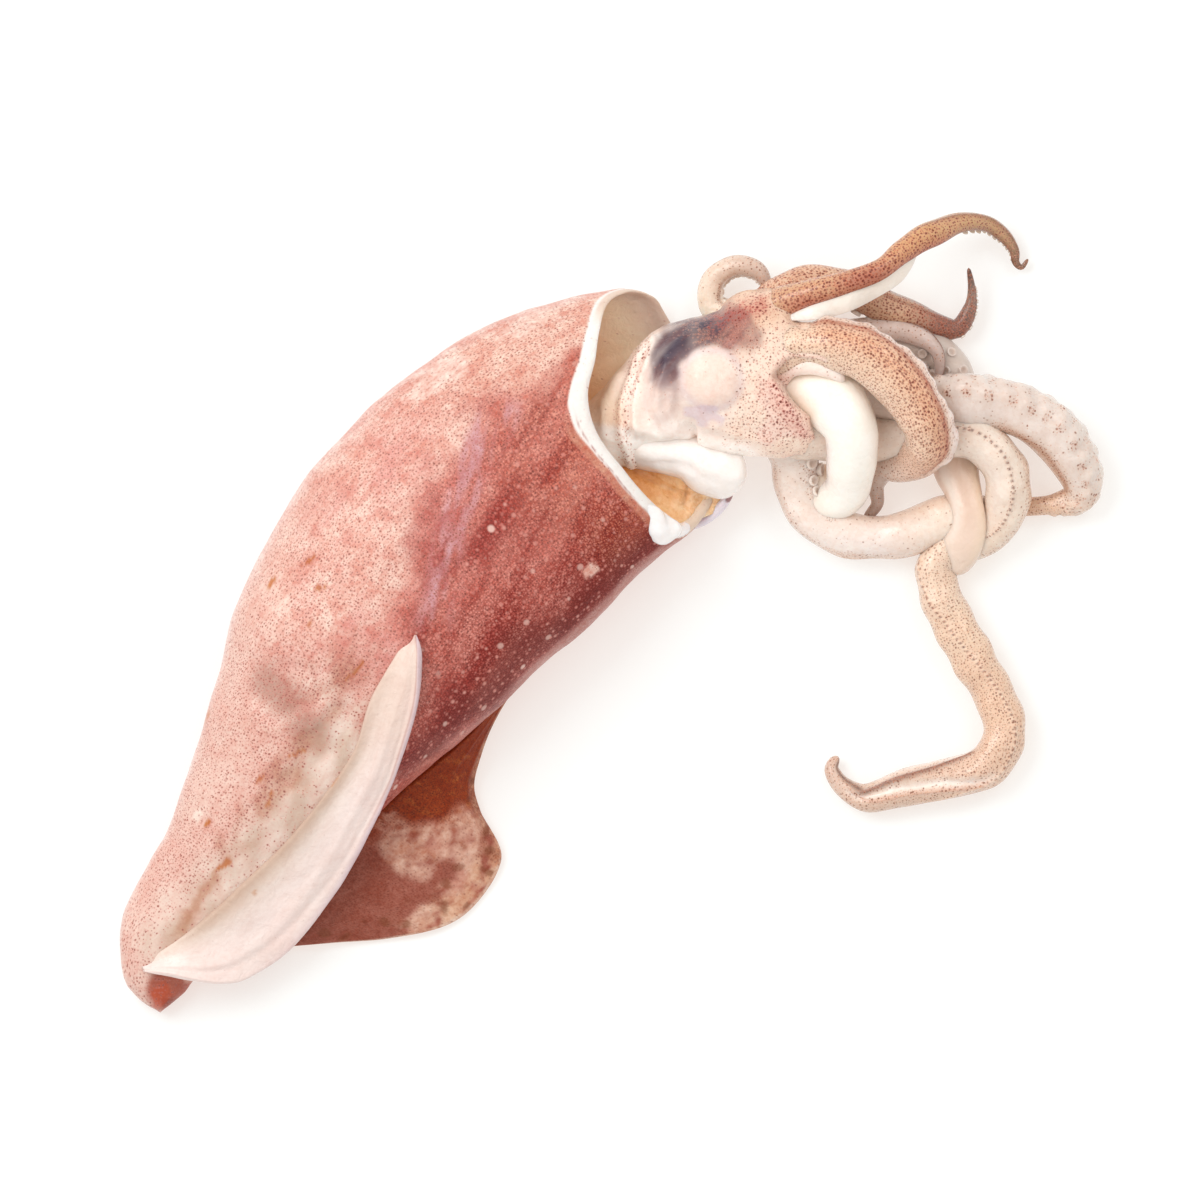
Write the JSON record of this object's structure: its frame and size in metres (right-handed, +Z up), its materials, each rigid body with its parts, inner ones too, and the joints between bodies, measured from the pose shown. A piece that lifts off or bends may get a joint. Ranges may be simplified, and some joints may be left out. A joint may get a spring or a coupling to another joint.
{
  "type": "whole raw squid",
  "caption": "Whole raw squid lying on its side, mantle with two fins, head and funnel, coiled arms and trailing tentacle.",
  "frame": {"origin": "on the surface that the squid lies on, under the middle of its outline", "axes": "+Z up from the surface; the tail points to -X and -Y, the head and arms to +X and +Y"},
  "size_m": [0.2443, 0.2011, 0.0448],
  "materials": {
    "mantle_skin": "wet skin, pink to dark red, finely dotted",
    "brown_skin": "wet brown skin, partly rubbed off to pink",
    "head_skin": "wet translucent skin with dots and a dark purple patch",
    "limb_skin": "wet translucent skin with rows of dots",
    "pale_flesh": "wet white to cream flesh"
  },
  "bodies": {
    "root": {"mantle": "mantle_skin", "fin_near": "pale_flesh", "fin_far": "brown_skin", "head": "head_skin", "funnel": "pale_flesh", "arm_broad": "limb_skin", "arm_upper": "limb_skin", "arm_rear": "limb_skin", "arm_curled": "limb_skin", "arm_right": "limb_skin", "arm_ring": "limb_skin", "arm_smooth": "pale_flesh", "arm_lilac": "limb_skin", "tentacle_pale": "pale_flesh", "tentacle_long": "limb_skin"}
  },
  "joints": []
}
